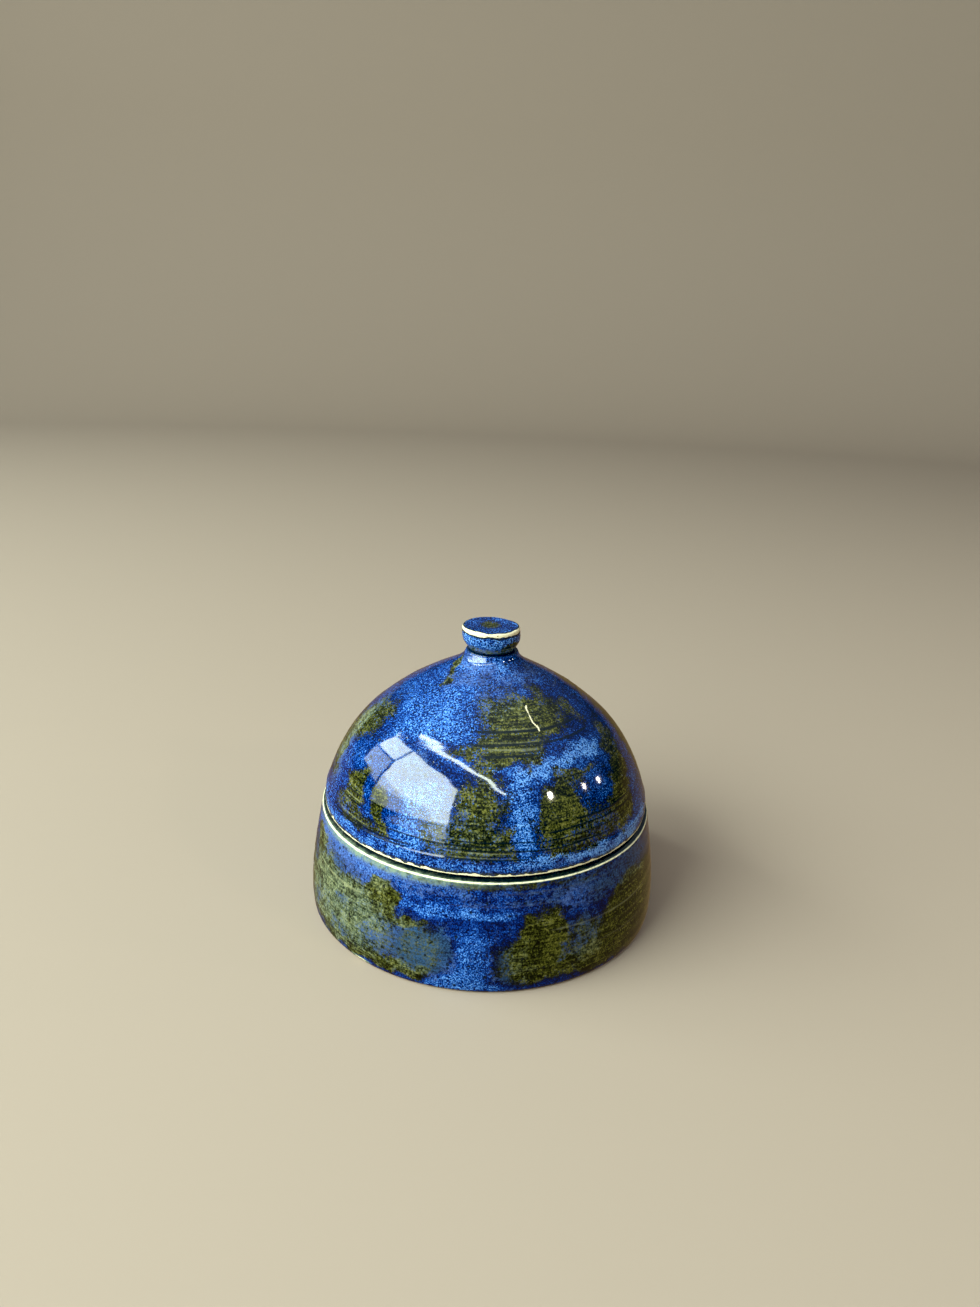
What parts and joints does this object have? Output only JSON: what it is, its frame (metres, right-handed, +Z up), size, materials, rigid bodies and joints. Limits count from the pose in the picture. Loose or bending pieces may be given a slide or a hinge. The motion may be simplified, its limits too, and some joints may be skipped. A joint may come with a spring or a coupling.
{
  "type": "yarn bowl",
  "caption": "Low round glazed stoneware bowl that holds a ball of yarn, closed by a tall domed lift-off lid with a button knob.",
  "frame": {"origin": "centre of the foot's underside, on the surface that the bowl stands on", "axes": "+Z up along the axis that the bowl and its lid were thrown on, -Y towards the side that was seen"},
  "size_m": [0.1387, 0.1388, 0.1148],
  "materials": {
    "bowl_glaze": "glossy",
    "lid_glaze": "glossy",
    "knob_glaze": "glossy"
  },
  "bodies": {
    "bowl": {"bowl": "bowl_glaze"},
    "lid": {"lid": "lid_glaze", "knob": "knob_glaze"}
  },
  "joints": [
    {"name": "lid_lift", "type": "slide", "parent": "bowl", "child": "lid", "axis": [0, 0, 1], "range_m": [0, 0.1]}
  ]
}
